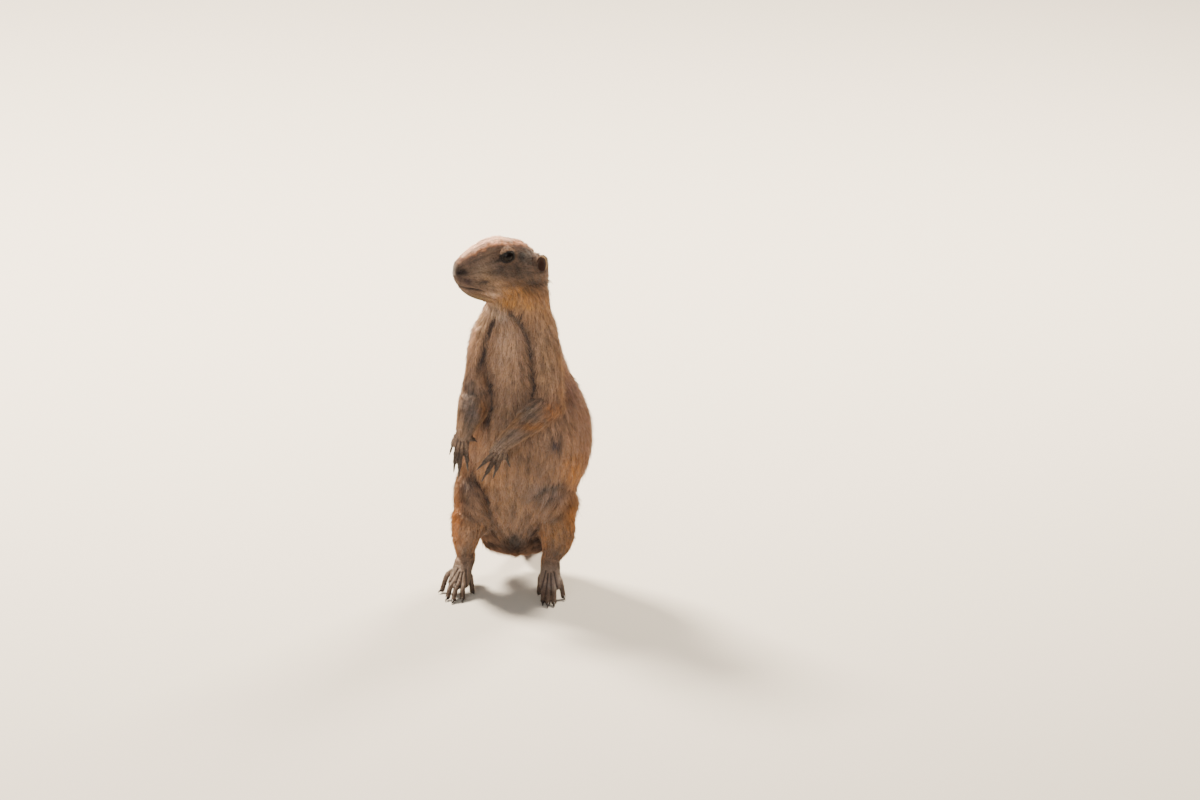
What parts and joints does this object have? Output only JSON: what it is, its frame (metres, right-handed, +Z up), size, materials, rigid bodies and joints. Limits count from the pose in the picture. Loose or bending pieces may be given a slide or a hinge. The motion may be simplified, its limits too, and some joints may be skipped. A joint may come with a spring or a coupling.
{
  "type": "prairie dog model",
  "caption": "Life-size still model of a prairie dog standing upright on its hind feet, propped on its tail, head turned to its right, forepaws hanging over the belly.",
  "frame": {"origin": "on the floor, under the middle of the whole box", "axes": "+Z up, -Y the way the belly and the toes face, +X the animal's left side"},
  "size_m": [0.126, 0.1932, 0.3023],
  "materials": {
    "coat": "matte",
    "pale_coat": "matte",
    "tail_coat": "matte",
    "claw_horn": "satin",
    "eye": "gloss"
  },
  "bodies": {
    "root": {"torso": "coat", "neck": "coat", "head": "coat", "ear_left": "coat", "ear_right": "coat", "eye_left": "eye", "eye_right": "eye", "tail": "tail_coat", "upper_arm_left": "coat", "upper_arm_right": "coat", "forearm_left": "pale_coat", "forearm_right": "pale_coat", "hand_left": "pale_coat", "hand_right": "pale_coat", "thigh_left": "coat", "thigh_right": "coat", "shank_left": "coat", "shank_right": "coat", "foot_left": "pale_coat", "foot_right": "pale_coat", "claw_hand_left_1": "claw_horn", "claw_hand_left_2": "claw_horn", "claw_hand_left_3": "claw_horn", "claw_hand_left_4": "claw_horn", "claw_hand_left_5": "claw_horn", "claw_hand_right_1": "claw_horn", "claw_hand_right_2": "claw_horn", "claw_hand_right_3": "claw_horn", "claw_hand_right_4": "claw_horn", "claw_hand_right_5": "claw_horn", "claw_foot_left_1": "claw_horn", "claw_foot_left_2": "claw_horn", "claw_foot_left_3": "claw_horn", "claw_foot_left_4": "claw_horn", "claw_foot_left_5": "claw_horn", "claw_foot_right_1": "claw_horn", "claw_foot_right_2": "claw_horn", "claw_foot_right_3": "claw_horn", "claw_foot_right_4": "claw_horn", "claw_foot_right_5": "claw_horn"}
  },
  "joints": []
}
